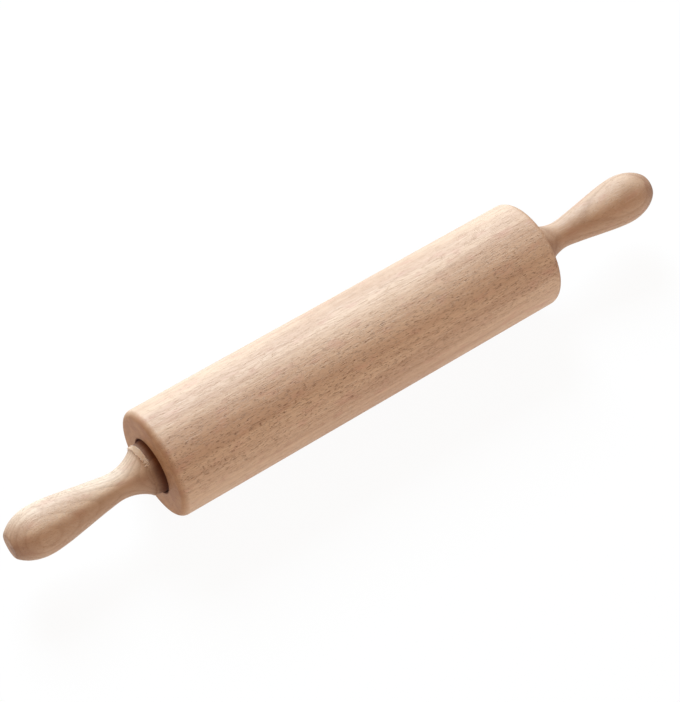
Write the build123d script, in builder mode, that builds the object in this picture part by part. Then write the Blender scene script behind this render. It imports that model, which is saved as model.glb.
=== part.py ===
from build123d import *
import math
import os

# Rolling pin: a turned barrel that runs on two ball bearings between fixed, turned handles.
# Millimetres. The axle lies along X and the origin is at the middle of the barrel, on the axle's centre line.

# Barrel
barrel_radius = 30.0
barrel_length = 240.0
barrel_edge_round = 4.0
recess_radius = 15.0
recess_depth = 9.0
recess_edge_break = 0.4
barrel_bore_radius = 7.0

# Handle, with reaches measured outwards from the barrel's end face
handle_length = 82.0
collar_mouth_radius = 14.4
collar_rim_radius = 13.5
collar_stand = 5.6
collar_edge_break = 0.6
neck_radius = 7.6
belly_radius = 13.5
tip_flat_radius = 6.6
tip_edge_round = 1.2
neck_reach_share = 0.26
belly_reach_share = 0.785
# Places between neck and belly, as shares of the way along and of the rise in radius
grip_along_shares = (0.20, 0.50, 0.80)
grip_rise_shares = (0.17, 0.53, 0.88)

# Axle and the sleeve that keeps the bearings apart
axle_radius = 4.0
axle_reach_in_handle = 42.0
axle_end_chamfer = 0.8
spacer_wall = 1.2
spacer_clearance = 0.2

# Ball bearing
bearing_width = 7.0
bearing_outer_radius = 11.0
ball_radius = 1.984
ball_count = 7
ball_pitch_radius = 7.5
inner_race_wall = 2.05
outer_race_wall = 2.1
race_groove_ratio = 1.04
race_edge_chamfer = 0.3
running_clearance = 0.012

# Cage that spaces the balls
cage_wall = 1.5
cage_back_reach = 2.45
cage_prong_reach = 0.85
cage_pocket_clearance = 0.08
cage_notch_width = 1.3
cage_notch_floor = 1.1

# Shields, one on each side of the balls
shield_thickness = 0.3
shield_inset = 0.2
shield_seat_depth = 0.7
shield_lip = 0.75
shield_running_gap = 0.15

# Cup that seats the bearing in the wood
cup_wall = 1.0
cup_floor_lip = 1.4
cup_flange_width = 1.7
cup_flange_thickness = 0.8
cup_bend_round = 0.35
bearing_set_back = 0.5

# Washer between inner race and handle, and the threaded sleeve in the handle
washer_radius = 5.9
washer_stand = 1.2
insert_wall = 2.0
insert_length = 20.0
insert_slot_width = 1.6
insert_slot_depth = 2.0
insert_edge_chamfer = 0.5

# Fits
seat_clearance = 0.01
drill_end_clearance = 2.0
drill_point_angle = 118.0

# Places along the axle, worked out for the right-hand end
barrel_end = barrel_length / 2
recess_floor = barrel_end - recess_depth
bearing_outer_face = recess_floor - bearing_set_back
bearing_middle = bearing_outer_face - bearing_width / 2
bearing_inner_face = bearing_outer_face - bearing_width
collar_inner_face = recess_floor + cup_flange_thickness + washer_stand
collar_rim = barrel_end + collar_stand
neck_place = barrel_end + handle_length * neck_reach_share
belly_place = barrel_end + handle_length * belly_reach_share
handle_tip = barrel_end + handle_length
axle_end = collar_inner_face + axle_reach_in_handle

# Radii that fit into each other
cup_outer_radius = bearing_outer_radius + seat_clearance + cup_wall
cup_seat_radius = cup_outer_radius + seat_clearance
inner_race_radius = axle_radius + seat_clearance + inner_race_wall
outer_race_bore_radius = bearing_outer_radius - outer_race_wall
groove_radius = ball_radius * race_groove_ratio
inner_groove_centre = ball_pitch_radius - ball_radius - running_clearance + groove_radius
outer_groove_centre = ball_pitch_radius + ball_radius + running_clearance - groove_radius
shield_outer_radius = outer_race_bore_radius + shield_seat_depth
insert_radius = axle_radius + seat_clearance + insert_wall


def end_plane(direction, reach):
    """The plane across the axle at a reach from the middle, facing outwards on the side that direction gives."""
    return Plane(origin=(direction * reach, 0, 0), z_dir=(direction, 0, 0))


def ring(inner_radius, outer_radius, start, end):
    """A plain ring on the axle between two places along it."""
    with BuildPart() as made:
        with BuildSketch(Plane.YZ.offset(start)):
            Circle(outer_radius)
            Circle(inner_radius, mode=Mode.SUBTRACT)
        extrude(amount=end - start)
    return made.part


# Barrel: a straight cylinder with rounded ends, recessed and bored from both ends; its seam runs along the top
with BuildPart() as barrel:
    with BuildSketch(Plane(origin=(0, 0, 0), x_dir=(0, 0, 1), z_dir=(1, 0, 0))):
        Circle(barrel_radius)
    extrude(amount=barrel_end, both=True)
    fillet(barrel.edges().filter_by(GeomType.CIRCLE), barrel_edge_round)
    for direction in (1, -1):
        with Locations(end_plane(direction, barrel_end)):
            Hole(recess_radius, depth=recess_depth)
        with Locations(end_plane(direction, recess_floor)):
            cup_depth = bearing_set_back + bearing_width + cup_wall + seat_clearance
            CounterBoreHole(barrel_bore_radius, cup_seat_radius, cup_depth, depth=recess_floor)
    for last in (0, -1):
        mouth = barrel.edges().group_by(Axis.X)[last].sort_by(SortBy.RADIUS)[0]
        chamfer(mouth, recess_edge_break)

# Handle: collar, flared neck, swelling grip and rounded tip with a small flat, all one turning
grip_points = [
    (neck_place + along * (belly_place - neck_place), neck_radius + rise * (belly_radius - neck_radius))
    for along, rise in zip(grip_along_shares, grip_rise_shares)
]
tip_flat_angle = math.degrees(math.asin(tip_flat_radius / belly_radius))
tip_half_axis = (handle_tip - belly_place) / math.cos(math.radians(tip_flat_angle))
drill_point_length = (axle_radius + seat_clearance) / math.tan(math.radians(drill_point_angle / 2))
insert_seat_radius = insert_radius + seat_clearance

with BuildPart() as right_handle:
    with BuildSketch(Plane.XY):
        with BuildLine():
            Polyline(
                (handle_tip, tip_flat_radius),
                (handle_tip, 0),
                (collar_inner_face, 0),
                (collar_inner_face, collar_mouth_radius - collar_edge_break),
                (collar_inner_face + collar_edge_break, collar_mouth_radius),
                (barrel_end, collar_mouth_radius),
                (collar_rim, collar_rim_radius),
            )
            TangentArc((neck_place, neck_radius), (collar_rim, collar_rim_radius), tangent=(-1, 0))
            Spline(
                (neck_place, neck_radius), *grip_points, (belly_place, belly_radius), tangents=[(1, 0), (1, 0)]
            )
            EllipticalCenterArc(
                (belly_place, 0),
                tip_half_axis,
                belly_radius,
                start_angle=tip_flat_angle,
                arc_size=90 - tip_flat_angle,
            )
        make_face()
    revolve(axis=Axis.X)
    fillet(right_handle.faces().sort_by(Axis.X)[-1].edges(), tip_edge_round)
    with BuildSketch(Plane.XY):
        with BuildLine():
            Polyline(
                (collar_inner_face, 0),
                (collar_inner_face, insert_seat_radius),
                (collar_inner_face + insert_length, insert_seat_radius),
                (collar_inner_face + insert_length, axle_radius + seat_clearance),
                (axle_end + drill_end_clearance, axle_radius + seat_clearance),
                (axle_end + drill_end_clearance + drill_point_length, 0),
                close=True,
            )
        make_face()
    revolve(axis=Axis.X, mode=Mode.SUBTRACT)

# Axle: one rod into both handles
with BuildPart() as axle:
    with BuildSketch(Plane.YZ):
        Circle(axle_radius)
    extrude(amount=axle_end, both=True)
    chamfer(axle.edges().filter_by(GeomType.CIRCLE), axle_end_chamfer)

# Spacer tube: stands between the two inner races
spacer_bore_radius = axle_radius + spacer_clearance
with BuildPart() as spacer_tube:
    with BuildSketch(Plane.YZ):
        Circle(spacer_bore_radius + spacer_wall)
        Circle(spacer_bore_radius, mode=Mode.SUBTRACT)
    extrude(amount=bearing_inner_face, both=True)

# Inner race: a ring with a ball groove round its outside
with BuildPart() as right_inner_race:
    add(ring(axle_radius + seat_clearance, inner_race_radius, bearing_inner_face, bearing_outer_face))
    chamfer(right_inner_race.edges().filter_by(GeomType.CIRCLE), race_edge_chamfer)
    with BuildSketch(Plane.XY):
        with Locations((bearing_middle, inner_groove_centre)):
            Circle(groove_radius)
    revolve(axis=Axis.X, mode=Mode.SUBTRACT)

# Outer race: a ring with a ball groove in its bore and a seat for a shield at each side
with BuildPart() as right_outer_race:
    add(ring(outer_race_bore_radius, bearing_outer_radius, bearing_inner_face, bearing_outer_face))
    rims = right_outer_race.edges().filter_by(GeomType.CIRCLE).group_by(SortBy.RADIUS)[-1]
    chamfer(rims, race_edge_chamfer)
    with BuildSketch(Plane.XY):
        with Locations((bearing_middle, outer_groove_centre)):
            Circle(groove_radius)
    revolve(axis=Axis.X, mode=Mode.SUBTRACT)
    for direction in (1, -1):
        side = bearing_middle + direction * bearing_width / 2
        with Locations(Plane(origin=(side, 0, 0), z_dir=(direction, 0, 0))):
            Hole(shield_outer_radius + seat_clearance, depth=shield_inset + shield_lip)

# Balls: one full set, spaced evenly
with BuildPart(Plane.YZ.offset(bearing_middle)) as right_balls:
    with PolarLocations(ball_pitch_radius, ball_count):
        Sphere(ball_radius)

# Ball cage: a crown whose prongs reach past the balls' middle and hold them
cage_inner_radius = ball_pitch_radius - cage_wall / 2
cage_outer_radius = ball_pitch_radius + cage_wall / 2
with BuildPart(Plane.YZ.offset(bearing_middle)) as right_ball_cage:
    with BuildSketch(Plane.YZ.offset(bearing_middle - cage_back_reach)):
        Circle(cage_outer_radius)
        Circle(cage_inner_radius, mode=Mode.SUBTRACT)
    extrude(amount=cage_back_reach + cage_prong_reach)
    with PolarLocations(ball_pitch_radius, ball_count):
        Sphere(ball_radius + cage_pocket_clearance, mode=Mode.SUBTRACT)
    notch_step = 360 / ball_count
    with BuildSketch(Plane.YZ.offset(bearing_middle + cage_prong_reach)):
        with PolarLocations(ball_pitch_radius, ball_count, start_angle=notch_step / 2):
            Rectangle(cage_wall * 2, cage_notch_width)
    extrude(amount=cage_notch_floor - cage_back_reach - cage_prong_reach, mode=Mode.SUBTRACT)


def shield(direction):
    """A pressed ring that closes one side of the bearing, with a lip in its seat in the outer race."""
    face = bearing_middle + direction * (bearing_width / 2 - shield_inset)
    back = face - direction * shield_thickness
    lip_end = face - direction * shield_lip
    lip_radius = shield_outer_radius - shield_thickness
    with BuildPart() as made:
        with BuildSketch(Plane.XY):
            with BuildLine():
                Polyline(
                    (face, inner_race_radius + shield_running_gap),
                    (face, shield_outer_radius),
                    (lip_end, shield_outer_radius),
                    (lip_end, lip_radius),
                    (back, lip_radius),
                    (back, inner_race_radius + shield_running_gap),
                    close=True,
                )
            make_face()
        revolve(axis=Axis.X)
    return made.part


with BuildPart() as right_outer_shield:
    add(shield(1))
with BuildPart() as right_inner_shield:
    add(shield(-1))

# Bearing cup: a flanged cup, pressed into the barrel, whose floor stops the outer race
cup_bore_radius = bearing_outer_radius + seat_clearance
with BuildPart() as right_bearing_cup:
    with BuildSketch(Plane.XY):
        with BuildLine():
            Polyline(
                (bearing_inner_face - cup_wall, cup_outer_radius),
                (bearing_inner_face - cup_wall, cup_bore_radius - cup_floor_lip),
                (bearing_inner_face, cup_bore_radius - cup_floor_lip),
                (bearing_inner_face, cup_bore_radius),
                (recess_floor + cup_flange_thickness, cup_bore_radius),
                (recess_floor + cup_flange_thickness, cup_outer_radius + cup_flange_width),
                (recess_floor, cup_outer_radius + cup_flange_width),
                (recess_floor, cup_outer_radius),
                close=True,
            )
        make_face()
    revolve(axis=Axis.X)
    bends = right_bearing_cup.edges().group_by(Axis.X)[0].sort_by(SortBy.RADIUS)[-1]
    fillet(bends, cup_bend_round)
    mouth = right_bearing_cup.edges().group_by(Axis.X)[-1].sort_by(SortBy.RADIUS)[0]
    fillet(mouth, cup_bend_round)

# Thrust washer: carries the clamping load from the handle's sleeve to the inner race alone
with BuildPart() as right_thrust_washer:
    add(ring(axle_radius + seat_clearance, washer_radius, bearing_outer_face, collar_inner_face))

# Handle insert: a sleeve let into the wood, slotted across its face for the driver
with BuildPart() as right_handle_insert:
    add(ring(axle_radius + seat_clearance, insert_radius, collar_inner_face, collar_inner_face + insert_length))
    with BuildSketch(Plane.YZ.offset(collar_inner_face)):
        Rectangle(insert_radius * 2, insert_slot_width)
    extrude(amount=insert_slot_depth, mode=Mode.SUBTRACT)
    lead = right_handle_insert.edges().group_by(Axis.X)[-1].sort_by(SortBy.RADIUS)[-1]
    chamfer(lead, insert_edge_chamfer)

# The left-hand pieces mirror the right-hand ones
right_hand = {
    "handle": right_handle,
    "handle_insert": right_handle_insert,
    "thrust_washer": right_thrust_washer,
    "inner_race": right_inner_race,
    "outer_race": right_outer_race,
    "balls": right_balls,
    "ball_cage": right_ball_cage,
    "outer_shield": right_outer_shield,
    "inner_shield": right_inner_shield,
    "bearing_cup": right_bearing_cup,
}
pieces = {"barrel": barrel, "axle": axle, "spacer_tube": spacer_tube}
for name, made in right_hand.items():
    with BuildPart() as twin:
        mirror(made.part, about=Plane.YZ)
    pieces["right_" + name] = made
    pieces["left_" + name] = twin

os.makedirs("parts", exist_ok=True)
for name, made in pieces.items():
    made.part.label = name
    export_step(made.part, f"parts/{name}.step")
    print(name, round(made.part.volume), "cubic millimetres")
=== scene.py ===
"""Looks of a beech rolling pin whose barrel turns on two ball bearings between fixed handles.

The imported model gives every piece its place. The three wooden pieces are turned again here with finer
surfaces and the torn grain of real turning; the bearing pieces keep their shapes and get their finishes.
Lengths in the classes are millimetres, and MM turns them to metres.
"""

import logging
import math
from dataclasses import dataclass, field
from enum import Enum
from typing import Any

import bpy
from bpy.types import Material, Mesh, Node, NodeOutputs, NodeSocket, NodeTree, Object
from mathutils import Matrix, Vector, noise

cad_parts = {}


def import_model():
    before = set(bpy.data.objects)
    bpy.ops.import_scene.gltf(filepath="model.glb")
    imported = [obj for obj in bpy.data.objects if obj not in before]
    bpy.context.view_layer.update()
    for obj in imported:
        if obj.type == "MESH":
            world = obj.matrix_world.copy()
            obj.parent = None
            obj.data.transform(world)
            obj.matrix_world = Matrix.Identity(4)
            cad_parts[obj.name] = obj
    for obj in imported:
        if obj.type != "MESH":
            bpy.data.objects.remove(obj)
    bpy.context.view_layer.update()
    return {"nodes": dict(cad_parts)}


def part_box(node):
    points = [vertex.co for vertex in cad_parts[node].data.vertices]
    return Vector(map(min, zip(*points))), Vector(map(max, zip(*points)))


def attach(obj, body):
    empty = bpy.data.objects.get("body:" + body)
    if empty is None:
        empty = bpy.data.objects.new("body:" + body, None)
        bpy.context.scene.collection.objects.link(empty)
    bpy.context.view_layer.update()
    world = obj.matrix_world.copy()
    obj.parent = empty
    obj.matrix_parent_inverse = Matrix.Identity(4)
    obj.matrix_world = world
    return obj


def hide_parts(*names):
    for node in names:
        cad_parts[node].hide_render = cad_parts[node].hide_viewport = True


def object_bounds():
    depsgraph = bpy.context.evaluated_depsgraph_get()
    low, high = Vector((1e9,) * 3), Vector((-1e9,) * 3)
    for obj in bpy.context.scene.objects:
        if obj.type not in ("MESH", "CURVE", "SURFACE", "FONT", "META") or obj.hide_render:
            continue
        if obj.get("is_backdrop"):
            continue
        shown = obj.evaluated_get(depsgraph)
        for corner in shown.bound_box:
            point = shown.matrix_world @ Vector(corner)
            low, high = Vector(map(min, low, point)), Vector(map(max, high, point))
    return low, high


MM = 0.001
TO_MM = (1 / MM, 1 / MM, 1 / MM)
ACROSS = (0, 1, 1)
WHITE = (1.0, 1.0, 1.0, 1.0)
# Edges that turn by more degrees than this stay sharp
SHARP_TURN = 32.0
# Both collars' arris: its distance from the barrel, its radius, and the angle where it is torn most
COLLAR_STAND = 5.6
RIM_RADIUS = 13.5
TORN_TURN = 72.0
LOG = logging.getLogger("rolling_pin")
Profile = list[tuple[float, float]]


class Side(Enum):
    """The end of the axle that a piece stands on."""

    LEFT = -1
    RIGHT = 1


class Marks(Enum):
    """How the marks of making run over a metal surface."""

    ROUND = "round"
    LENGTHWISE = "lengthwise"
    NONE = "none"


def colour(hex_value: str) -> tuple[float, float, float, float]:
    """Turns an sRGB hex value into linear colour.

    Args:
        hex_value: Six hex digits, such as "D7AE8E".

    Returns:
        Linear red, green and blue, and an alpha of 1.
    """
    parts = [int(hex_value[i:i + 2], 16) / 255 for i in (0, 2, 4)]
    linear = [v / 12.92 if v <= 0.04045 else ((v + 0.055) / 1.055) ** 2.4 for v in parts]
    return (*linear, 1.0)


def add_node(tree: NodeTree, kind: str, inputs: dict[Any, Any] | None = None, **settings: Any) -> Node:
    """Adds a node with its settings and links.

    Args:
        tree: The tree that gets the node.
        kind: The node's type name. A shader node's goes without ShaderNode.
        inputs: For each input's name or number, a plain value, a socket to link, or a node whose first
            output is linked.
        **settings: Attributes of the node itself.

    Returns:
        The new node.
    """
    node = tree.nodes.new(kind if "Node" in kind else "ShaderNode" + kind)
    for key, value in settings.items():
        setattr(node, key, value)
    for key, value in (inputs or {}).items():
        if isinstance(value, Node):
            tree.links.new(value.outputs[0], node.inputs[key])
        elif isinstance(value, NodeSocket):
            tree.links.new(value, node.inputs[key])
        else:
            node.inputs[key].default_value = value
    return node


def new_material(name: str) -> tuple[Material, NodeTree]:
    """Makes an empty node material.

    Args:
        name: The material's name.

    Returns:
        The material and its cleared node tree.
    """
    material = bpy.data.materials.new(name)
    material.use_nodes = True
    material.node_tree.nodes.clear()
    return material, material.node_tree


def round_axle(tree: NodeTree, place: Node) -> tuple[NodeSocket, NodeSocket, NodeSocket]:
    """Splits a place by the X axis.

    Args:
        tree: The tree that gets the nodes.
        place: The node that gives the place.

    Returns:
        The way along the axis, the angle round it and the distance from it.
    """
    parts = add_node(tree, "SeparateXYZ", {0: place}).outputs
    turn = add_node(tree, "Math", {0: parts[2], 1: parts[1]}, operation="ARCTAN2")
    across = add_node(tree, "VectorMath", {0: place, 1: ACROSS}, operation="MULTIPLY")
    radius = add_node(tree, "VectorMath", {0: across}, operation="LENGTH")
    return parts[0], turn.outputs[0], radius.outputs["Value"]


@dataclass(frozen=True)
class Streaks:
    """Marks along the grain, drawn where a stretched noise is high.

    Lengths are about those of one mark; relief is the height it stands up by, and below 0 it sinks in.
    Some marks show only in one band round the piece, and hardly elsewhere.
    """

    tone: str
    amount: float
    length: float
    width: float
    window: tuple[float, float]
    seed: float
    relief: float = 0.0
    band_only: bool = False

    def build(self, tree: NodeTree, place: Node) -> Node:
        """Adds the noise.

        Args:
            tree: The material's tree.
            place: The node that gives coordinates in millimetres.

        Returns:
            The node whose output is 1 inside a mark.
        """
        stretched = add_node(tree, "VectorMath", {
            0: place, 1: (1 / self.length, 1 / self.width, 1 / self.width),
        }, operation="MULTIPLY")
        grain = add_node(tree, "TexNoise", {
            "Vector": stretched, "W": self.seed, "Scale": 1.0, "Detail": 1.5,
        }, noise_dimensions="4D")
        return add_node(tree, "MapRange", {
            0: grain, 1: self.window[0], 2: self.window[1],
        }, interpolation_type="SMOOTHSTEP")


@dataclass(frozen=True)
class ShadeAndTornArris:
    """Where collar and recess meet: painted shade darkening the joint, and a pale torn arris, partly a
    painted highlight.

    Places are distances from the middle of the barrel, radii are distances from the axle, and turns are
    degrees round it. A mark is whole up to the first value of its pair and gone at the second.
    """

    # Painted shade: a darker tone on the handles' collars and the start of their flares, and in the barrel's
    # recesses, where the joint lies in shade
    painted_shade: str = "744418"
    shade_along: tuple[float, float] = (120.5, 129.0)
    shade_radius: tuple[float, float] = (90.0, 99.0)
    # The torn patch's pale tone is partly the torn fibres' own paleness and partly a painted highlight on the
    # side that faces the lamp
    torn: str = "FFF0E0"
    torn_place: float = 125.3
    torn_reach: tuple[float, float] = (0.3, 1.5)
    torn_spread: tuple[float, float] = (13.8, 46.0)
    strands: tuple[float, float, float] = (0.5, 2.2, 2.2)
    strand_lift: float = 0.25
    strand_window: tuple[float, float] = (0.3, 0.75)

    def build(self, tree: NodeTree, under: NodeSocket) -> tuple[NodeSocket, Node]:
        """Lays both marks over a colour.

        Args:
            tree: The material's tree.
            under: The clean wood's colour.

        Returns:
            The colour with both marks, and the node whose output is 1 where the painted shade is whole.
        """
        place = add_node(tree, "VectorMath", {
            0: add_node(tree, "TexCoord").outputs["Object"], 1: TO_MM,
        }, operation="MULTIPLY")
        way, turn, radius = round_axle(tree, place)
        along = add_node(tree, "Math", {0: way}, operation="ABSOLUTE")
        # Painted shade in the joint between collar and recess
        painted_shade = self._within(tree, [(along, self.shade_along), (radius, self.shade_radius)])
        shaded = add_node(tree, "Mix", {0: painted_shade, 6: under, 7: colour(self.painted_shade)},
                         data_type="RGBA", blend_type="MULTIPLY").outputs[2]
        turns = (math.radians(self.torn_spread[0]), math.radians(self.torn_spread[1]))
        off = []
        for value, middle, pair in ((along, self.torn_place, self.torn_reach),
                                    (turn, math.radians(TORN_TURN), turns)):
            aside = add_node(tree, "Math", {0: value, 1: middle}, operation="SUBTRACT")
            off.append((add_node(tree, "Math", {0: aside}, operation="ABSOLUTE"), pair))
        patch = self._within(tree, off)
        # The patch is broken into strands along the grain
        stretched = add_node(tree, "VectorMath", {0: place, 1: self.strands}, operation="MULTIPLY")
        broken = add_node(tree, "TexNoise", {"Vector": stretched, "Scale": 1.0, "Detail": 2.0})
        lifted = add_node(tree, "Math", {0: patch, 1: broken, 2: self.strand_lift},
                          operation="MULTIPLY_ADD")
        strand = add_node(tree, "MapRange", {0: lifted, 1: self.strand_window[0], 2: self.strand_window[1]})
        share = add_node(tree, "Math", {0: patch, 1: strand}, operation="MULTIPLY")
        # Pale torn patch, partly a painted highlight
        shaded_and_torn = add_node(tree, "Mix", {0: share, 6: shaded, 7: colour(self.torn)},
                        data_type="RGBA").outputs[2]
        return shaded_and_torn, painted_shade

    def _within(self, tree: NodeTree, limits: list[tuple[Any, tuple[float, float]]]) -> Node:
        """1 where each value is under the first number of its pair, fading to 0 at the second.

        Args:
            tree: The material's tree.
            limits: Values, each with its pair.

        Returns:
            The node with that share.
        """
        whole = None
        for value, (full, gone) in limits:
            fade = add_node(tree, "MapRange", {0: value, 1: full, 2: gone, 3: 1.0, 4: 0.0},
                            interpolation_type="SMOOTHSTEP")
            if whole:
                fade = add_node(tree, "Math", {0: whole, 1: fade}, operation="MULTIPLY")
            whole = fade
        return whole


@dataclass(frozen=True)
class Beech:
    """Raw turned beech: matt and pinkish tan, with fine pores, short dark ray flecks and faint rings.

    The pattern is solid, so it runs through the piece: rings stand round a pith outside the piece, rays
    run out from it, and cut surfaces show them as dashes, bars or arcs by the way the wood was sawn.
    Flecks are drawn a little coarser than real ones, so that they show. Angles are degrees round the
    axle, and a reach is the pair of cosines between which a mark on one side comes in.
    """

    name: str
    pith_angle: float
    pith_distance: float = 55.0
    pith_tilt: tuple[float, float] = (1.2, 0.8)
    start: float = 0.0
    pale: str = "DCBC9F"
    late: str = "A67C60"
    late_amount: float = 0.25
    late_rise: float = 2.0
    late_end: float = 0.82
    ring_width: float = 3.1
    ring_unevenness: float = 0.11
    fleck: str = "7A4C30"
    fleck_amount: float = 0.4
    fleck_length: float = 2.0
    fleck_spacing: float = 0.62
    fleck_depth: float = 4.0
    fleck_share: float = 0.5
    fleck_size: float = 0.3
    fleck_edge: float = 9.0
    fleck_relief: float = -0.8
    streaks: tuple[Streaks, ...] = (
        Streaks("BF987C", 0.55, 110.0, 6.0, (0.40, 0.64), 9.0),
        Streaks("CE9A86", 0.38, 12.0, 5.0, (0.52, 0.74), 13.0),
        Streaks("E6CDB4", 0.28, 24.0, 0.45, (0.50, 0.68), 5.0, 0.3),
        Streaks("A9836A", 0.28, 16.0, 0.38, (0.52, 0.70), 2.0, -0.3),
        Streaks("A07A60", 0.30, 5.0, 0.28, (0.57, 0.67), 17.0, -0.5),
        Streaks("74401E", 0.60, 2.7, 0.34, (0.595, 0.665), 0.0, -1.0, True),
    )
    streak_share: float = 1.0
    # The band where flecks and band-only dashes crowd. The default, which the barrel keeps, lies where the
    # lamp's light grazes it, so there the crowding is painted shade
    fleck_band_angle: float = 136.0
    fleck_band_reach: tuple[float, float] = (0.66, 0.98)
    wander: float = 11.0
    wander_stretch: float = 0.13
    wander_scale: float = 0.05
    heart: str = "A0724E"
    heart_amount: float = 0.0
    heart_angle: float = 168.0
    heart_reach: tuple[float, float] = (0.58, 0.92)
    end_tint: str = "D0B596"
    end_facing: tuple[float, float] = (0.15, 0.9)
    roughness: float = 0.58
    shade_roughness: float = 0.4
    relief_roughness: float = -0.1
    gloss: float = 0.5
    bump: float = 0.2
    bump_strength: float = 0.8
    shade_and_torn_arris: ShadeAndTornArris = ShadeAndTornArris()

    def build(self) -> Material:
        """Builds the material from Object coordinates in millimetres."""
        material, tree = new_material(self.name)
        place = self._place(tree)
        # The grain wanders slowly: long waves along it and shorter ones across
        slow = add_node(tree, "VectorMath", {0: place, 1: (self.wander_stretch, 1, 1)},
                        operation="MULTIPLY")
        drift = add_node(tree, "TexNoise", {"Vector": slow, "Scale": self.wander_scale, "Detail": 2.0})
        wood = add_node(tree, "VectorMath", {
            0: drift.outputs["Color"], 1: (0, self.wander, self.wander), 2: place,
        }, operation="MULTIPLY_ADD")
        way, turn, radius = round_axle(tree, wood)
        # Flecks and band-only dashes are the wood's own rays; on the barrel their crowding into this band,
        # where the light grazes, is painted shade
        flat = self._towards(tree, self.fleck_band_angle, self.fleck_band_reach)
        fleck = add_node(tree, "Math", {0: self._ray_flecks(tree, way, turn, radius), 1: flat},
                         operation="MULTIPLY")
        late = self._late_wood(tree, radius)
        mixed = self._mixed(tree, colour(self.pale), late, self.late_amount, self.late)
        relief = add_node(tree, "Math", {0: fleck, 1: self.fleck_relief}, operation="MULTIPLY")
        for streak in self.streaks:
            share = streak.build(tree, place)
            if streak.band_only:
                share = add_node(tree, "Math", {0: share, 1: flat}, operation="MULTIPLY")
            mixed = self._mixed(tree, mixed, share, streak.amount * self.streak_share, streak.tone)
            if streak.relief:
                relief = add_node(tree, "Math", {0: share, 1: streak.relief, 2: relief},
                                  operation="MULTIPLY_ADD")
        mixed = self._mixed(tree, mixed, fleck, self.fleck_amount, self.fleck)
        if self.heart_amount:
            heart = self._towards(tree, self.heart_angle, self.heart_reach)
            mixed = self._mixed(tree, mixed, heart, self.heart_amount, self.heart)
        base, painted_shade = self.shade_and_torn_arris.build(tree, self._end_grain(tree, mixed))
        # Roughness goes up where the shade is painted, so that no sheen shows there
        matt = add_node(tree, "Math", {0: painted_shade, 1: self.shade_roughness, 2: self.roughness},
                        operation="MULTIPLY_ADD")
        rough = add_node(tree, "Math", {0: relief, 1: self.relief_roughness, 2: matt},
                         operation="MULTIPLY_ADD")
        bump = add_node(tree, "Bump", {
            "Height": relief, "Strength": self.bump_strength, "Distance": self.bump * MM,
        })
        surface = add_node(tree, "BsdfPrincipled", {
            "Base Color": base, "Roughness": rough, "Normal": bump, "IOR": 1.5,
            "Specular IOR Level": self.gloss,
        })
        add_node(tree, "OutputMaterial", {"Surface": surface})
        return material

    def _place(self, tree: NodeTree) -> Node:
        """Coordinates in millimetres from the pith, leaning as the grain does.

        Args:
            tree: The material's tree.

        Returns:
            The node that gives them.
        """
        angle, distance = math.radians(self.pith_angle), self.pith_distance
        return add_node(tree, "Mapping", {
            "Vector": add_node(tree, "TexCoord").outputs["Object"],
            "Location": (self.start, -distance * math.cos(angle), -distance * math.sin(angle)),
            "Rotation": (0, math.radians(self.pith_tilt[0]), math.radians(self.pith_tilt[1])),
            "Scale": TO_MM,
        })

    def _mixed(self, tree: NodeTree, under: Any, share: Any, amount: float, tone: str) -> NodeSocket:
        """Lays a tone over a colour where share is 1, as strongly as amount says.

        Args:
            tree: The material's tree.
            under: The colour below.
            share: Where the tone goes.
            amount: Its strength.
            tone: The tone's hex value.

        Returns:
            The new colour.
        """
        factor = add_node(tree, "Math", {0: share, 1: amount}, operation="MULTIPLY")
        return add_node(tree, "Mix", {0: factor, 6: under, 7: colour(tone)}, data_type="RGBA").outputs[2]

    def _end_grain(self, tree: NodeTree, mixed: NodeSocket) -> NodeSocket:
        """Darkens faces square to the grain, because end grain drinks light.

        Args:
            tree: The material's tree.
            mixed: The wood's colour.

        Returns:
            The new colour.
        """
        normal = add_node(tree, "SeparateXYZ", {0: add_node(tree, "NewGeometry").outputs["Normal"]})
        facing = add_node(tree, "Math", {0: normal.outputs[0]}, operation="ABSOLUTE")
        end = add_node(tree, "MapRange", {0: facing, 1: self.end_facing[0], 2: self.end_facing[1]})
        return add_node(tree, "Mix", {0: end, 6: mixed, 7: colour(self.end_tint)},
                        data_type="RGBA", blend_type="MULTIPLY").outputs[2]

    def _late_wood(self, tree: NodeTree, radius: NodeSocket) -> Node:
        """The darkening towards the outside of each year's ring.

        Args:
            tree: The material's tree.
            radius: Distance from the pith.

        Returns:
            The node that is 1 where the ring is darkest.
        """
        uneven = add_node(tree, "TexNoise", {
            "W": radius, "Scale": self.ring_unevenness, "Detail": 1.0,
        }, noise_dimensions="1D")
        years = add_node(tree, "Math", {0: radius, 1: 1 / self.ring_width, 2: uneven.outputs[0]},
                         operation="MULTIPLY_ADD")
        part = add_node(tree, "Math", {0: years}, operation="FRACT")
        rise = add_node(tree, "Math", {0: part, 1: self.late_rise}, operation="POWER")
        end = add_node(tree, "MapRange", {0: part, 1: self.late_end, 2: 1.0, 3: 1.0, 4: 0.0},
                       interpolation_type="SMOOTHSTEP")
        return add_node(tree, "Math", {0: rise, 1: end}, operation="MULTIPLY")

    def _towards(self, tree: NodeTree, degrees: float, reach: tuple[float, float]) -> Node:
        """1 on the side that faces an angle round the piece's axis, fading out by the cosines in reach.

        Args:
            tree: The material's tree.
            degrees: The angle.
            reach: Cosines where the share is 0 and 1.

        Returns:
            The node with that share.
        """
        angle = math.radians(degrees)
        across = add_node(tree, "VectorMath", {
            0: add_node(tree, "TexCoord").outputs["Object"], 1: ACROSS,
        }, operation="MULTIPLY")
        outwards = add_node(tree, "VectorMath", {0: across}, operation="NORMALIZE")
        share = add_node(tree, "VectorMath", {
            0: outwards, 1: (0, math.cos(angle), math.sin(angle)),
        }, operation="DOT_PRODUCT").outputs["Value"]
        return add_node(tree, "MapRange", {
            0: share, 1: reach[0], 2: reach[1],
        }, interpolation_type="SMOOTHSTEP")

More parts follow.
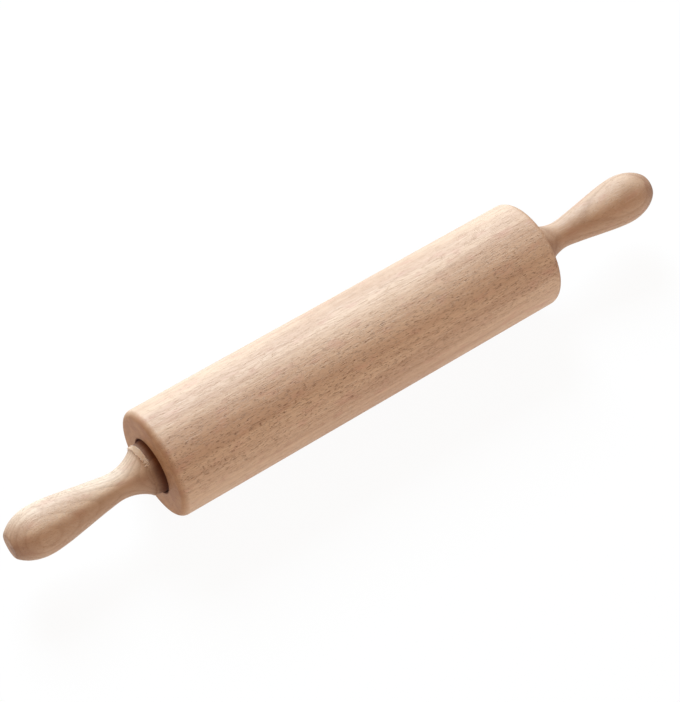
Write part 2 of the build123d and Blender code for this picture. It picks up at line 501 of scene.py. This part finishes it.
    def _ray_flecks(self, tree: NodeTree, way: NodeSocket, turn: NodeSocket, radius: NodeSocket) -> Node:
        """Lens-shaped ray bundles, long on the grain, thin round the pith and deep outwards from it.

        Args:
            tree: The material's tree.
            way: Place along the grain.
            turn: Angle round the pith.
            radius: Distance from the pith.

        Returns:
            The node that is 1 inside a bundle.
        """
        arc = add_node(tree, "Math", {0: turn, 1: self.pith_distance}, operation="MULTIPLY")
        cell = add_node(tree, "CombineXYZ")
        for number, (source, size) in enumerate((
            (way, self.fleck_length), (arc, self.fleck_spacing), (radius, self.fleck_depth),
        )):
            scaled = add_node(tree, "Math", {0: source, 1: 1 / size}, operation="MULTIPLY")
            tree.links.new(scaled.outputs[0], cell.inputs[number])
        cells = add_node(tree, "TexVoronoi", {"Vector": cell, "Scale": 1.0})
        # A share of the cells hold a fleck, each of its own size
        pick = add_node(tree, "SeparateColor", {0: cells.outputs["Color"]})
        size = add_node(tree, "MapRange", {0: pick, 1: 1 - self.fleck_share, 2: 1.0, 4: self.fleck_size})
        inside = add_node(tree, "Math", {0: size, 1: cells.outputs["Distance"]}, operation="SUBTRACT")
        return add_node(tree, "Math", {0: inside, 1: self.fleck_edge}, operation="MULTIPLY",
                        use_clamp=True)


@dataclass(frozen=True)
class Metal:
    """A metal finish with the fine marks that its making leaves, as coarse as they need to be to show.

    Smears are soft patches where the sheen changes a little, as on handled metal.
    """

    name: str
    tone: str
    roughness: float
    marks: Marks
    pitch: float = 0.25
    depth: float = 0.004
    lengthwise_stretch: tuple[float, float] = (0.02, 4.0)
    smear_scale: float = 0.35
    smear_window: tuple[float, float] = (0.3, 0.7)
    smear_shares: tuple[float, float] = (0.8, 1.25)

    def build(self) -> Material:
        """Builds the material from Object coordinates in millimetres."""
        material, tree = new_material(self.name)
        place = add_node(tree, "VectorMath", {
            0: add_node(tree, "TexCoord").outputs["Object"], 1: TO_MM,
        }, operation="MULTIPLY")
        way, turn, radius = round_axle(tree, place)
        marked = place
        if self.marks is Marks.ROUND:
            marked = add_node(tree, "CombineXYZ", {0: way, 1: radius})
        elif self.marks is Marks.LENGTHWISE:
            slow, quick = self.lengthwise_stretch
            along = add_node(tree, "Math", {0: way, 1: slow}, operation="MULTIPLY")
            beside = add_node(tree, "Math", {0: turn, 1: quick}, operation="MULTIPLY")
            marked = add_node(tree, "CombineXYZ", {0: along, 1: beside})
        lines = add_node(tree, "TexNoise", {"Vector": marked, "Scale": 1 / self.pitch, "Detail": 3.0})
        smears = add_node(tree, "TexNoise", {"Vector": place, "Scale": self.smear_scale, "Detail": 2.0})
        rough = add_node(tree, "MapRange", {
            0: smears, 1: self.smear_window[0], 2: self.smear_window[1],
            3: self.roughness * self.smear_shares[0], 4: self.roughness * self.smear_shares[1],
        })
        bump = add_node(tree, "Bump", {"Height": lines, "Strength": 0.5, "Distance": self.depth * MM})
        surface = add_node(tree, "BsdfPrincipled", {
            "Base Color": colour(self.tone), "Metallic": 1.0, "Roughness": rough, "Normal": bump,
        })
        add_node(tree, "OutputMaterial", {"Surface": surface})
        return material


@dataclass(frozen=True)
class Clouded:
    """A dull finish without grain, clouded by a second tone.

    Moulded natural nylon is milky and waxy, a little see-through at thin edges. Fibres torn up from raw
    beech are dry and dull, and paler than the wood that they come from; their near-white tones are partly a
    painted highlight.
    """

    name: str
    tone: str
    cloud_tone: str
    cloud_size: float
    roughness: float
    relief: float
    cloud_detail: float = 2.0
    refraction: float = 1.5
    milkiness: float = 0.0
    milk_depth: float = 0.4

    def build(self) -> Material:
        """Builds the material from Object coordinates."""
        material, tree = new_material(self.name)
        cloud = add_node(tree, "TexNoise", {
            "Vector": add_node(tree, "TexCoord").outputs["Object"],
            "Scale": 1 / (self.cloud_size * MM), "Detail": self.cloud_detail,
        })
        base = add_node(tree, "Mix", {0: cloud, 6: colour(self.tone), 7: colour(self.cloud_tone)},
                        data_type="RGBA").outputs[2]
        bump = add_node(tree, "Bump", {"Height": cloud, "Strength": 0.3, "Distance": self.relief * MM})
        surface = add_node(tree, "BsdfPrincipled", {
            "Base Color": base, "Roughness": self.roughness, "Normal": bump, "IOR": self.refraction,
            "Subsurface Weight": self.milkiness, "Subsurface Scale": self.milk_depth * MM,
        })
        add_node(tree, "OutputMaterial", {"Surface": surface})
        return material


def lathe(name: str, profile: Profile, segments: int, closed: bool) -> Object:
    """Turns a profile round the X axis into one closed mesh with its faces outwards.

    Args:
        name: The object's name.
        profile: Places along the axle and radii, in millimetres.
        segments: Steps round the axle.
        closed: True for a ring, whose last point joins the first; otherwise both ends lie on the axle.

    Returns:
        The new object at the origin.
    """
    body = profile if closed else profile[1:-1]
    vertices = [
        Vector((x, r * math.cos(turn), r * math.sin(turn))) * MM
        for x, r in body for turn in (math.tau * step / segments for step in range(segments))
    ]
    rows = len(body)
    faces = []
    for row in range(rows if closed else rows - 1):
        after = (row + 1) % rows
        for step in range(segments):
            beside = (step + 1) % segments
            faces.append((row * segments + step, after * segments + step,
                          after * segments + beside, row * segments + beside))
    if not closed:
        for pole, row in ((profile[0], 0), (profile[-1], rows - 1)):
            vertices.append(Vector((pole[0], 0, 0)) * MM)
            tip = len(vertices) - 1
            for step in range(segments):
                edge = (row * segments + step, row * segments + (step + 1) % segments)
                faces.append((tip, *edge) if row == 0 else (tip, *reversed(edge)))
    mesh = bpy.data.meshes.new(name)
    mesh.from_pydata(vertices, [], faces)
    mesh.update()
    if signed_volume(mesh) < 0:
        mesh.flip_normals()
    mesh.shade_smooth()
    mesh.set_sharp_from_angle(angle=math.radians(SHARP_TURN))
    piece = bpy.data.objects.new(name, mesh)
    bpy.context.scene.collection.objects.link(piece)
    return piece


def signed_volume(mesh: Mesh) -> float:
    """The volume that a closed mesh's faces enclose, negative where they point inwards.

    Args:
        mesh: A closed mesh.

    Returns:
        The volume in cubic metres.
    """
    total = 0.0
    for face in mesh.polygons:
        first, *others = (mesh.vertices[v].co for v in face.vertices)
        for one, two in zip(others, others[1:]):
            total += first.dot(one.cross(two)) / 6
    return total


def arc_points(
    centre: tuple[float, float], radii: tuple[float, float], start: float, end: float, steps: int
) -> Profile:
    """Points along part of an ellipse.

    Args:
        centre: Its centre in the profile's plane.
        radii: Its half axes along and across the axle.
        start: Start angle in degrees from the axle's direction.
        end: End angle in degrees.
        steps: Number of steps.

    Returns:
        The points, both ends included.
    """
    turns = [math.radians(start + (end - start) * i / steps) for i in range(steps + 1)]
    return [(centre[0] + radii[0] * math.cos(t), centre[1] + radii[1] * math.sin(t)) for t in turns]


def flowing_points(knots: Profile, steps: int) -> Profile:
    """A smooth line through the knots that runs level with the axle at both ends.

    Args:
        knots: Points that it passes through.
        steps: Steps between two knots.

    Returns:
        The points, both ends included.
    """
    slopes = [0.0]
    for before, here, after in zip(knots, knots[1:], knots[2:]):
        left = (here[1] - before[1]) / (here[0] - before[0])
        right = (after[1] - here[1]) / (after[0] - here[0])
        slopes.append((left + right) / 2)
    slopes.append(0.0)
    points = [knots[0]]
    for (x0, r0), (x1, r1), m0, m1 in zip(knots, knots[1:], slopes, slopes[1:]):
        for step in range(1, steps + 1):
            t = step / steps
            h = x1 - x0
            r = ((2 * t**3 - 3 * t**2 + 1) * r0 + (t**3 - 2 * t**2 + t) * h * m0
                 + (3 * t**2 - 2 * t**3) * r1 + (t**3 - t**2) * h * m1)
            points.append((x0 + t * h, r))
    return points


def keep(piece: Object, node: str, body: str, material: Material) -> None:
    """Dresses a piece, sets it on its body and hides the CAD node that it stands for.

    Args:
        piece: The new piece.
        node: The CAD node that it stands for.
        body: The body that carries it.
        material: Its finish.
    """
    piece.data.materials.clear()
    piece.data.materials.append(material)
    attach(piece, body)
    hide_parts(node)
    LOG.info("%s rides on %s, %d faces", piece.name, body, len(piece.data.polygons))


@dataclass
class Barrel:
    """The turned barrel: straight, with rounded ends, a recess in each end face, and stepped bores."""

    finish: Beech
    edge_round: float = 4.0
    recess_radius: float = 15.0
    recess_depth: float = 9.0
    recess_break: float = 0.4
    cup_seat_radius: float = 12.03
    cup_seat_depth: float = 8.51
    bore_radius: float = 7.0
    rings_along: int = 12
    rings_round_edge: int = 10
    face_ring: float = 2.4
    inner_ring: float = 1.2
    segments: int = 256

    def profile(self, half_length: float, radius: float) -> Profile:
        """Half of the outline from the middle of the barrel to the middle of its bore, then its mirror.

        Args:
            half_length: Half of the barrel's length.
            radius: Its radius.

        Returns:
            The closed profile.
        """
        floor = half_length - self.recess_depth
        seat = floor - self.cup_seat_depth
        recess, edge = self.recess_radius, self.recess_break
        straight = half_length - self.edge_round
        half: Profile = [(straight * i / self.rings_along, radius) for i in range(1, self.rings_along)]
        half += arc_points((straight, radius - self.edge_round), (self.edge_round, self.edge_round), 90, 0,
                           self.rings_round_edge)
        half += [
            (half_length, recess + self.face_ring), (half_length, recess + edge),
            (half_length - edge, recess), (half_length - self.inner_ring, recess), (floor + edge, recess),
            (floor, recess), (floor, self.cup_seat_radius), (seat, self.cup_seat_radius),
            (seat, self.bore_radius), (seat - self.inner_ring, self.bore_radius),
        ]
        return half + [(-x, r) for x, r in reversed(half)]

    def build(self) -> None:
        """Turns the barrel and sets it on its body."""
        low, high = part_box("barrel")
        half_length = (high.x - low.x) / 2 / MM
        radius = (high.y - low.y) / 2 / MM
        piece = lathe("turned_barrel", self.profile(half_length, radius), self.segments, closed=True)
        keep(piece, "barrel", "barrel", self.finish.build())


@dataclass
class Handle:
    """A turned handle: collar in the barrel's recess, flared neck, swelling grip and flat-tipped end.

    The collar's arris is torn most round one angle, and reaches and depths of tearing are millimetres.
    """

    side: Side
    finish: Beech
    collar_mouth_radius: float = 14.4
    neck_radius: float = 7.6
    belly_radius: float = 13.5
    tip_flat_radius: float = 6.6
    tip_edge_round: float = 1.2
    neck_reach_share: float = 0.26
    belly_reach_share: float = 0.785
    grip_along_shares: tuple[float, ...] = (0.20, 0.50, 0.80)
    grip_rise_shares: tuple[float, ...] = (0.17, 0.53, 0.88)
    edge_break: float = 0.6
    insert_seat_radius: float = 6.03
    insert_seat_length: float = 20.0
    bore_radius: float = 4.01
    bore_reach: float = 44.0
    drill_point: float = 2.4
    tip_ring_share: float = 0.4
    tip_corner_share: float = 0.55
    rim_rings: tuple[float, ...] = (0.25, 0.7, 1.4)
    collar_ring_shares: tuple[float, ...] = (0.35, 0.7, 1.0)
    belly_steps: int = 26
    corner_steps: int = 6
    grip_steps: int = 12
    flare_steps: int = 22
    torn_inwards: float = 1.0
    torn_reach: float = 0.5
    torn_least: float = 0.02
    torn_spread: float = 0.6
    torn_depth: float = 0.35
    ragged_waves: tuple[float, float] = (1.5, 16.0)
    ragged_depths: tuple[float, float, float] = (0.3, 0.2, 0.3)
    fine_waves: tuple[float, float] = (3.0, 55.0)
    fine_depths: tuple[float, float] = (0.21, 0.25)
    segments: int = 320

    def profile(self, inner: float, face: float, tip: float) -> Profile:
        """The outline from the tip over the grip to the collar, and back along the blind bore.

        Args:
            inner: Place of the collar's inner face.
            face: Place of the barrel's end face.
            tip: Place of the handle's tip.

        Returns:
            The profile, with both ends on the axle.
        """
        length = tip - face
        neck = face + length * self.neck_reach_share
        belly = face + length * self.belly_reach_share
        rim = face + COLLAR_STAND
        flat = math.asin(self.tip_flat_radius / self.belly_radius)
        half_axis = (tip - belly) / math.cos(flat)
        points: Profile = [(tip, 0.0), (tip, self.tip_flat_radius * self.tip_ring_share)]
        end = arc_points((belly, 0), (half_axis, self.belly_radius), math.degrees(flat), 90, self.belly_steps)
        # The tip's edge is rounded off between the flat and the ellipse
        reach = self.tip_edge_round * self.tip_corner_share
        near = next(p for p in end if p[1] - self.tip_flat_radius > reach)
        corner = (tip, self.tip_flat_radius)
        start = (tip, self.tip_flat_radius - reach)
        for i in range(self.corner_steps + 1):
            t = i / self.corner_steps
            points.append(tuple(
                (1 - t) ** 2 * start[k] + 2 * t * (1 - t) * corner[k] + t**2 * near[k] for k in (0, 1)
            ))
        points += [p for p in end if p[1] > near[1]][:-1]
        knots = [(neck, self.neck_radius)]
        for along, rise in zip(self.grip_along_shares, self.grip_rise_shares):
            knots.append((neck + along * (belly - neck),
                          self.neck_radius + rise * (self.belly_radius - self.neck_radius)))
        knots.append((belly, self.belly_radius))
        points += list(reversed(flowing_points(knots, self.grip_steps)))
        drop = RIM_RADIUS - self.neck_radius
        flare = ((neck - rim) ** 2 + drop**2) / (2 * drop)
        sweep = math.degrees(math.asin((neck - rim) / flare))
        points += arc_points((neck, self.neck_radius + flare), (flare, flare), -90, -90 - sweep,
                             self.flare_steps)[1:]
        rim_radius, mouth = RIM_RADIUS, self.collar_mouth_radius
        points += [(rim - ring, rim_radius) for ring in self.rim_rings]
        points += [(rim + (face - rim) * t, rim_radius + (mouth - rim_radius) * t)
                   for t in self.collar_ring_shares]
        points += [(inner + self.edge_break, mouth), (inner, mouth - self.edge_break)]
        seat_end = inner + self.insert_seat_length
        bore_end = inner + self.bore_reach
        points += [(inner, self.insert_seat_radius), (seat_end, self.insert_seat_radius),
                   (seat_end, self.bore_radius), (bore_end, self.bore_radius),
                   (bore_end + self.drill_point, 0.0)]
        return points

    def build(self) -> None:
        """Turns the handle, tears its arris and sets it on the axle's body."""
        name = self.side.name.lower()
        low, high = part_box(f"{name}_handle")
        if self.side is Side.RIGHT:
            inner, tip = low.x / MM, high.x / MM
        else:
            inner, tip = -high.x / MM, -low.x / MM
        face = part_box("barrel")[1].x / MM
        piece = lathe(f"turned_{name}_handle", self.profile(inner, face, tip), self.segments, closed=False)
        if self.side is Side.LEFT:
            piece.data.transform(Matrix.Scale(-1, 4, (1, 0, 0)))
            piece.data.flip_normals()
        self._tear_arris(piece.data, face + COLLAR_STAND)
        keep(piece, f"{name}_handle", "handles_and_axle", self.finish.build())

    def _tear_arris(self, mesh: Mesh, rim: float) -> None:
        """Roughens the collar's sharp arris, most where the tool cut against the grain.

        Args:
            mesh: The handle's mesh.
            rim: The arris's distance from the middle of the barrel.
        """
        side = self.side.value
        for vertex in mesh.vertices:
            place, radius = abs(vertex.co.x) / MM, math.hypot(vertex.co.y, vertex.co.z) / MM
            if radius <= RIM_RADIUS - self.torn_inwards:
                continue
            near = math.exp(-((place - rim) / self.torn_reach) ** 2)
            if near < self.torn_least:
                continue
            turn = math.atan2(vertex.co.z, vertex.co.y)
            ragged, fine = (
                noise.noise(Vector((place * along, turn * around, seed)))
                for (along, around), seed in ((self.ragged_waves, 3.0 * side), (self.fine_waves, 8.0))
            )
            torn = math.exp(-((turn - math.radians(TORN_TURN)) / self.torn_spread) ** 2)
            slid = self.ragged_depths[0] * ragged + self.fine_depths[0] * fine
            sunk = (self.ragged_depths[1] + torn * self.ragged_depths[2]) * ragged
            sunk += self.fine_depths[1] * fine - self.torn_depth * torn
            vertex.co.x += side * near * slid * MM
            vertex.co.y *= 1 + near * sunk / radius
            vertex.co.z *= 1 + near * sunk / radius


@dataclass
class TornGrain:
    """The pale fuzz of torn fibres along a collar's arris, made by a node tree; its paleness is partly a
    painted highlight.

    Fibres crowd round one angle and slide back and forth from the arris. Those past it follow
    the flare's slope. Each leans off the wood, strays a little and has a size of its own.
    """

    side: Side
    material: Material
    spread: float = 48.0
    crowding: float = 0.1
    count: int = 1600
    length: float = 1.3
    width: float = 0.17
    slide: tuple[float, float] = (-2.2, 0.6)
    flare_slope: float = -0.85
    lean: tuple[float, float] = (0.05, 1.1)
    stray: tuple[float, float, float] = (0.3, 0.5, 0.5)
    least_size: tuple[float, float, float] = (0.5, 0.5, 0.35)
    most_size: tuple[float, float, float] = (1.3, 1.3, 1.1)
    seed: int = 4

    def build(self) -> None:
        """Builds the fibres and sets them on the axle's body."""
        name = f"{self.side.name.lower()}_collar_torn_grain"
        values = {
            "Place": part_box("barrel")[1].x + COLLAR_STAND * MM, "Radius": RIM_RADIUS * MM,
            "Side": float(self.side.value), "Centre": math.radians(TORN_TURN),
            "Spread": math.radians(self.spread), "Count": self.count, "Length": self.length * MM,
            "Width": self.width * MM, "Seed": self.seed,
        }
        tree = bpy.data.node_groups.new(name, "GeometryNodeTree")
        sockets = {}
        for label, value in values.items():
            kind = "NodeSocketInt" if isinstance(value, int) else "NodeSocketFloat"
            sockets[label] = tree.interface.new_socket(label, in_out="INPUT", socket_type=kind).identifier
        tree.interface.new_socket("Geometry", in_out="OUTPUT", socket_type="NodeSocketGeometry")
        given = add_node(tree, "NodeGroupInput").outputs
        outwards = self._outwards(tree, given)
        points = add_node(tree, "GeometryNodePoints", {
            "Count": given["Count"], "Position": self._places(tree, given, outwards),
        })
        fibre = add_node(tree, "GeometryNodeMeshCone", {
            "Vertices": 4, "Radius Top": 0.0, "Radius Bottom": given["Width"], "Depth": given["Length"],
        })
        sizes = add_node(tree, "FunctionNodeRandomValue", {0: self.least_size, 1: self.most_size, "Seed": 41},
                         data_type="FLOAT_VECTOR")
        spread = add_node(tree, "GeometryNodeInstanceOnPoints", {
            "Points": points, "Instance": fibre, "Rotation": self._headings(tree, given, outwards),
            "Scale": sizes,
        })
        real = add_node(tree, "GeometryNodeRealizeInstances", {0: spread})
        dressed = add_node(tree, "GeometryNodeSetMaterial", {0: real, "Material": self.material})
        add_node(tree, "NodeGroupOutput", {0: dressed})
        piece = grown(name, tree, {sockets[label]: value for label, value in values.items()})
        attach(piece, "handles_and_axle")
        LOG.info("%s has %d faces", name, len(piece.data.polygons))

    def _outwards(self, tree: NodeTree, given: NodeOutputs) -> Node:
        """Each fibre's direction from the axle.

        Args:
            tree: The geometry tree.
            given: Sockets of the tree's inputs.

        Returns:
            The node that gives it.
        """
        # Two random values multiplied crowd the fibres towards the middle of the torn stretch
        wide = add_node(tree, "FunctionNodeRandomValue", {2: -1.0, 3: 1.0, "Seed": given["Seed"]})
        narrow = add_node(tree, "FunctionNodeRandomValue", {2: self.crowding, 3: 1.0, "Seed": 11})
        crowd = add_node(tree, "Math", {0: wide.outputs[1], 1: narrow.outputs[1]}, operation="MULTIPLY")
        turn = add_node(tree, "Math", {0: crowd, 1: given["Spread"], 2: given["Centre"]},
                        operation="MULTIPLY_ADD")
        return add_node(tree, "CombineXYZ", {
            1: add_node(tree, "Math", {0: turn}, operation="COSINE"),
            2: add_node(tree, "Math", {0: turn}, operation="SINE"),
        })

    def _places(self, tree: NodeTree, given: NodeOutputs, outwards: Node) -> Node:
        """Where each fibre stands on the wood.

        Args:
            tree: The geometry tree.
            given: Sockets of the tree's inputs.
            outwards: Its direction from the axle.

        Returns:
            The node that gives its place.
        """
        slide = add_node(tree, "FunctionNodeRandomValue", {
            2: self.slide[0] * MM, 3: self.slide[1] * MM, "Seed": 23,
        }).outputs[1]
        past = add_node(tree, "Math", {0: slide, 1: 0.0}, operation="MAXIMUM")
        fall = add_node(tree, "Math", {0: past, 1: self.flare_slope, 2: given["Radius"]},
                        operation="MULTIPLY_ADD")
        ring = add_node(tree, "VectorMath", {0: outwards, "Scale": fall}, operation="SCALE")
        reach = add_node(tree, "Math", {0: slide, 1: given["Place"]}, operation="ADD")
        along = add_node(tree, "Math", {0: reach, 1: given["Side"]}, operation="MULTIPLY")
        return add_node(tree, "VectorMath", {
            0: ring, 1: add_node(tree, "CombineXYZ", {0: along}),
        }, operation="ADD")

    def _headings(self, tree: NodeTree, given: NodeOutputs, outwards: Node) -> Node:
        """Where each fibre points: along the grain, off the wood by its lean, and a little astray.

        Args:
            tree: The geometry tree.
            given: Sockets of the tree's inputs.
            outwards: Its direction from the axle.

        Returns:
            The node that gives its rotation.
        """
        lean = add_node(tree, "FunctionNodeRandomValue", {2: self.lean[0], 3: self.lean[1], "Seed": 31})
        lift = add_node(tree, "VectorMath", {0: outwards, "Scale": lean.outputs[1]}, operation="SCALE")
        forward = add_node(tree, "CombineXYZ", {0: given["Side"]})
        heading = add_node(tree, "VectorMath", {0: lift, 1: forward}, operation="ADD")
        stray = add_node(tree, "FunctionNodeRandomValue", {
            0: tuple(-reach for reach in self.stray), 1: self.stray, "Seed": 37,
        }, data_type="FLOAT_VECTOR")
        bent = add_node(tree, "VectorMath", {0: heading, 1: stray.outputs[0]}, operation="ADD")
        return add_node(tree, "FunctionNodeAlignRotationToVector", {"Vector": bent}, axis="Z")


def grown(name: str, tree: NodeTree, values: dict[str, Any]) -> Object:
    """Runs a geometry tree once and keeps its result as a plain mesh.

    Args:
        name: Name of the piece.
        tree: The geometry tree.
        values: A value for each input, by the socket's identifier.

    Returns:
        The piece, with no modifier left on it.
    """
    piece = bpy.data.objects.new(name, bpy.data.meshes.new(name + "_seed"))
    bpy.context.scene.collection.objects.link(piece)
    modifier = piece.modifiers.new("grow", "NODES")
    modifier.node_group = tree
    for identifier, value in values.items():
        modifier[identifier] = value
    graph = bpy.context.evaluated_depsgraph_get()
    mesh = bpy.data.meshes.new_from_object(piece.evaluated_get(graph))
    piece.modifiers.remove(modifier)
    mesh.name = name
    piece.data = mesh
    return piece


@dataclass
class Bearings:
    """The pieces inside both ends of the barrel, which keep their shapes and get their finishes."""

    finishes: dict[str, Metal | Clouded] = field(default_factory=lambda: {
        "axle": Metal("bright_drawn_steel", "C9C8C4", 0.32, Marks.LENGTHWISE),
        "spacer_tube": Metal("drawn_aluminium", "D8D8D6", 0.38, Marks.LENGTHWISE),
        "thrust_washer": Metal("blanked_steel", "BDBCB8", 0.36, Marks.ROUND),
        "inner_race": Metal("ground_bearing_steel", "CFCFCD", 0.2, Marks.ROUND, 0.15, 0.002),
        "outer_race": Metal("ground_outer_steel", "CFCFCD", 0.22, Marks.ROUND, 0.15, 0.002),
        "balls": Metal("polished_ball_steel", "DADADA", 0.07, Marks.NONE, 2.0, 0.0005),
        "ball_cage": Clouded("moulded_nylon", "E6E0CE", "D6CFBB", 2.5, 0.42, 0.02, refraction=1.53,
                             milkiness=0.25),
        "outer_shield": Metal("pressed_shield_steel", "C2C1BD", 0.3, Marks.ROUND, 0.4, 0.003),
        "inner_shield": Metal("pressed_inner_shield", "C2C1BD", 0.3, Marks.ROUND, 0.4, 0.003),
        "bearing_cup": Metal("zinc_plated_steel", "C7CACC", 0.34, Marks.NONE, 0.9, 0.004),
        "handle_insert": Metal("turned_brass", "C9A45C", 0.3, Marks.ROUND, 0.3, 0.006),
    })

    def dress(self, nodes: dict[str, Object]) -> None:
        """Gives each inner node its finish.

        Args:
            nodes: The CAD nodes by name.
        """
        for kind, finish in self.finishes.items():
            material = finish.build()
            for name in (kind, f"left_{kind}", f"right_{kind}"):
                if name in nodes:
                    for slot in nodes[name].material_slots:
                        slot.material = material
                    LOG.info("%s is dressed in %s", name, material.name)


@dataclass
class PhotoCamera:
    """The photograph's point of view, set by what its frame shows."""

    azimuth: float = -35.44
    elevation: float = 52.71
    distance: float = 1142.0
    focal_pixels: float = 2200.0
    frame: tuple[float, float] = (680.0, 702.0)
    pin_middle: tuple[float, float] = (347.2, 355.2)
    sensor: float = 36.0

    def build(self) -> None:
        """Places the camera so that the barrel's middle falls on its pixel."""
        turn, rise = math.radians(self.azimuth), math.radians(self.elevation)
        right = Vector((math.cos(turn), math.sin(turn), 0))
        up = Vector((-math.sin(rise) * math.sin(turn), math.sin(rise) * math.cos(turn), math.cos(rise)))
        back = right.cross(up)
        span = self.distance * MM / self.focal_pixels
        aside = (self.pin_middle[0] - self.frame[0] / 2) * span
        above = (self.frame[1] / 2 - self.pin_middle[1]) * span
        data = bpy.data.cameras.new("photo_camera")
        data.sensor_width = self.sensor
        data.lens = self.focal_pixels * self.sensor / max(self.frame)
        camera = bpy.data.objects.new("photo_camera", data)
        rotation = Matrix((right, up, back)).transposed().to_4x4()
        place = back * self.distance * MM - right * aside - up * above
        camera.matrix_world = Matrix.Translation(place) @ rotation
        bpy.context.scene.collection.objects.link(camera)
        bpy.context.scene.camera = camera


@dataclass
class Lamp:
    """A soft square lamp that faces the middle of the pin."""

    name: str
    direction: tuple[float, float, float]
    distance: float
    size: float
    power: float
    tone: str = "FFFFFF"

    def build(self) -> None:
        """Hangs the lamp."""
        data = bpy.data.lights.new(self.name, "AREA")
        data.shape = "SQUARE"
        data.size = self.size
        data.energy = self.power
        data.color = colour(self.tone)[:3]
        lamp = bpy.data.objects.new(self.name, data)
        lamp.location = Vector(self.direction).normalized() * self.distance
        lamp.rotation_euler = Vector(self.direction).to_track_quat("Z", "Y").to_euler()
        bpy.context.scene.collection.objects.link(lamp)


@dataclass
class Studio:
    """A white table in soft light from behind and above.

    The eye sees the table glow white but for its shadow share. To other rays it is paper with some glow.
    """

    floor_size: float = 3.0
    room_tone: str = "FFDEBF"
    ambient: float = 0.57
    shadow_share: float = 0.06
    glow_share: float = 0.25
    glow: float = 1.7
    paper: float = 0.92
    floor_gap: float = 0.02
    lamps: tuple[Lamp, ...] = (
        Lamp("window", (0.2, 0.73, 0.6), 4.0, 1.8, 252.0, "CFEBFF"),
    )

    def build(self) -> None:
        """Lays the floor, sets the world and hangs the lamps."""
        bpy.context.scene.view_settings.view_transform = "Standard"
        self._world()
        self._floor()
        for lamp in self.lamps:
            lamp.build()

    def _seen(self, tree: NodeTree) -> Node:
        """1 for rays from the eye, straight or by way of a mirror or glass, which see plain white.

        Args:
            tree: The tree of a material or of the world.

        Returns:
            The node with that share.
        """
        path = add_node(tree, "LightPath")
        first = add_node(tree, "Math", {
            0: path.outputs["Is Camera Ray"], 1: path.outputs["Is Glossy Ray"],
        }, operation="MAXIMUM")
        return add_node(tree, "Math", {0: first, 1: path.outputs["Is Transmission Ray"]},
                        operation="MAXIMUM")

    def _world(self) -> None:
        """White where it is seen, and a plain level of light elsewhere."""
        world = bpy.data.worlds.new("white_room")
        bpy.context.scene.world = world
        world.use_nodes = True
        tree = world.node_tree
        tree.nodes.clear()
        room = add_node(tree, "Background", {"Color": colour(self.room_tone), "Strength": self.ambient})
        white = add_node(tree, "Background", {"Color": WHITE, "Strength": 1.0})
        both = add_node(tree, "MixShader", {0: self._seen(tree), 1: room, 2: white})
        add_node(tree, "OutputWorld", {"Surface": both})

    def _floor(self) -> None:
        """A white table top that stays white to the eye and keeps a faint shadow."""
        half = self.floor_size / 2
        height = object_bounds()[0][2] - self.floor_gap * MM
        mesh = bpy.data.meshes.new("table_top")
        corners = ((-half, -half), (half, -half), (half, half), (-half, half))
        mesh.from_pydata([(x, y, height) for x, y in corners], [], [(0, 1, 2, 3)])
        floor = bpy.data.objects.new("table_top", mesh)
        bpy.context.scene.collection.objects.link(floor)
        material, tree = new_material("white_table_top")
        seen = self._seen(tree)
        paper = add_node(tree, "BsdfDiffuse", {"Color": (self.paper, self.paper, self.paper, 1.0)})
        level = add_node(tree, "Mix", {0: seen, 2: self.glow, 3: 1.0})
        glow = add_node(tree, "Emission", {"Color": WHITE, "Strength": level})
        share = add_node(tree, "Mix", {0: seen, 2: self.glow_share, 3: 1 - self.shadow_share})
        top = add_node(tree, "MixShader", {0: share, 1: paper, 2: glow})
        under = add_node(tree, "MixShader", {
            0: add_node(tree, "NewGeometry").outputs["Backfacing"],
            1: top, 2: add_node(tree, "BsdfTransparent"),
        })
        add_node(tree, "OutputMaterial", {"Surface": under})
        mesh.materials.append(material)
        floor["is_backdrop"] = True


def main() -> None:
    """Builds the looks in order."""
    logging.basicConfig(level=logging.INFO, format="%(name)s: %(message)s")
    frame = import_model()
    PhotoCamera().build()
    Studio().build()
    Barrel(Beech(
        "raw_beech_barrel", pith_angle=221.6, pith_distance=120.0, start=40.0,
        # Painted shade darkens the barrel's recesses and bores and the face just round each recess
        shade_and_torn_arris=ShadeAndTornArris(painted_shade="7C4A1E", shade_radius=(15.2, 16.3)),
    )).build()
    # The left handle's pale tone is painted lighter and the right handle's pale and end tones darker: painted
    # light on the left handle and painted shade on the right one
    Handle(Side.LEFT, Beech(
        "raw_beech_left_handle", pith_angle=-38.0, pith_distance=60.0, start=300.0, pale="EBD2B8",
        late="946A4A", late_amount=0.42, ring_width=1.9, wander=3.5, end_tint="C4AE9C",
        fleck_amount=0.2, heart_amount=0.6, streak_share=0.85, fleck_band_angle=48.0, fleck_band_reach=(0.9, 0.98),
    )).build()
    Handle(Side.RIGHT, Beech(
        "raw_beech_right_handle", pith_angle=-62.0, pith_distance=48.0, start=520.0, pale="D0AF92",
        late="946A4A", late_amount=0.6, ring_width=3.4, wander=9.0, end_tint="AC865F",
        fleck_amount=0.1, heart_amount=0.25, heart_angle=160.0, streak_share=0.8, fleck_band_angle=-75.0,
    )).build()
    # The fibres' near-white tones are partly their own paleness and partly a painted highlight
    torn = Clouded("torn_fibres_with_painted_highlight", "FFF4E6", "F2DCC6", 0.5, 0.75, 0.05, cloud_detail=1.0).build()
    for side in Side:
        TornGrain(side, torn).build()
    Bearings().dress(frame["nodes"])


if __name__ == "__main__":
    main()
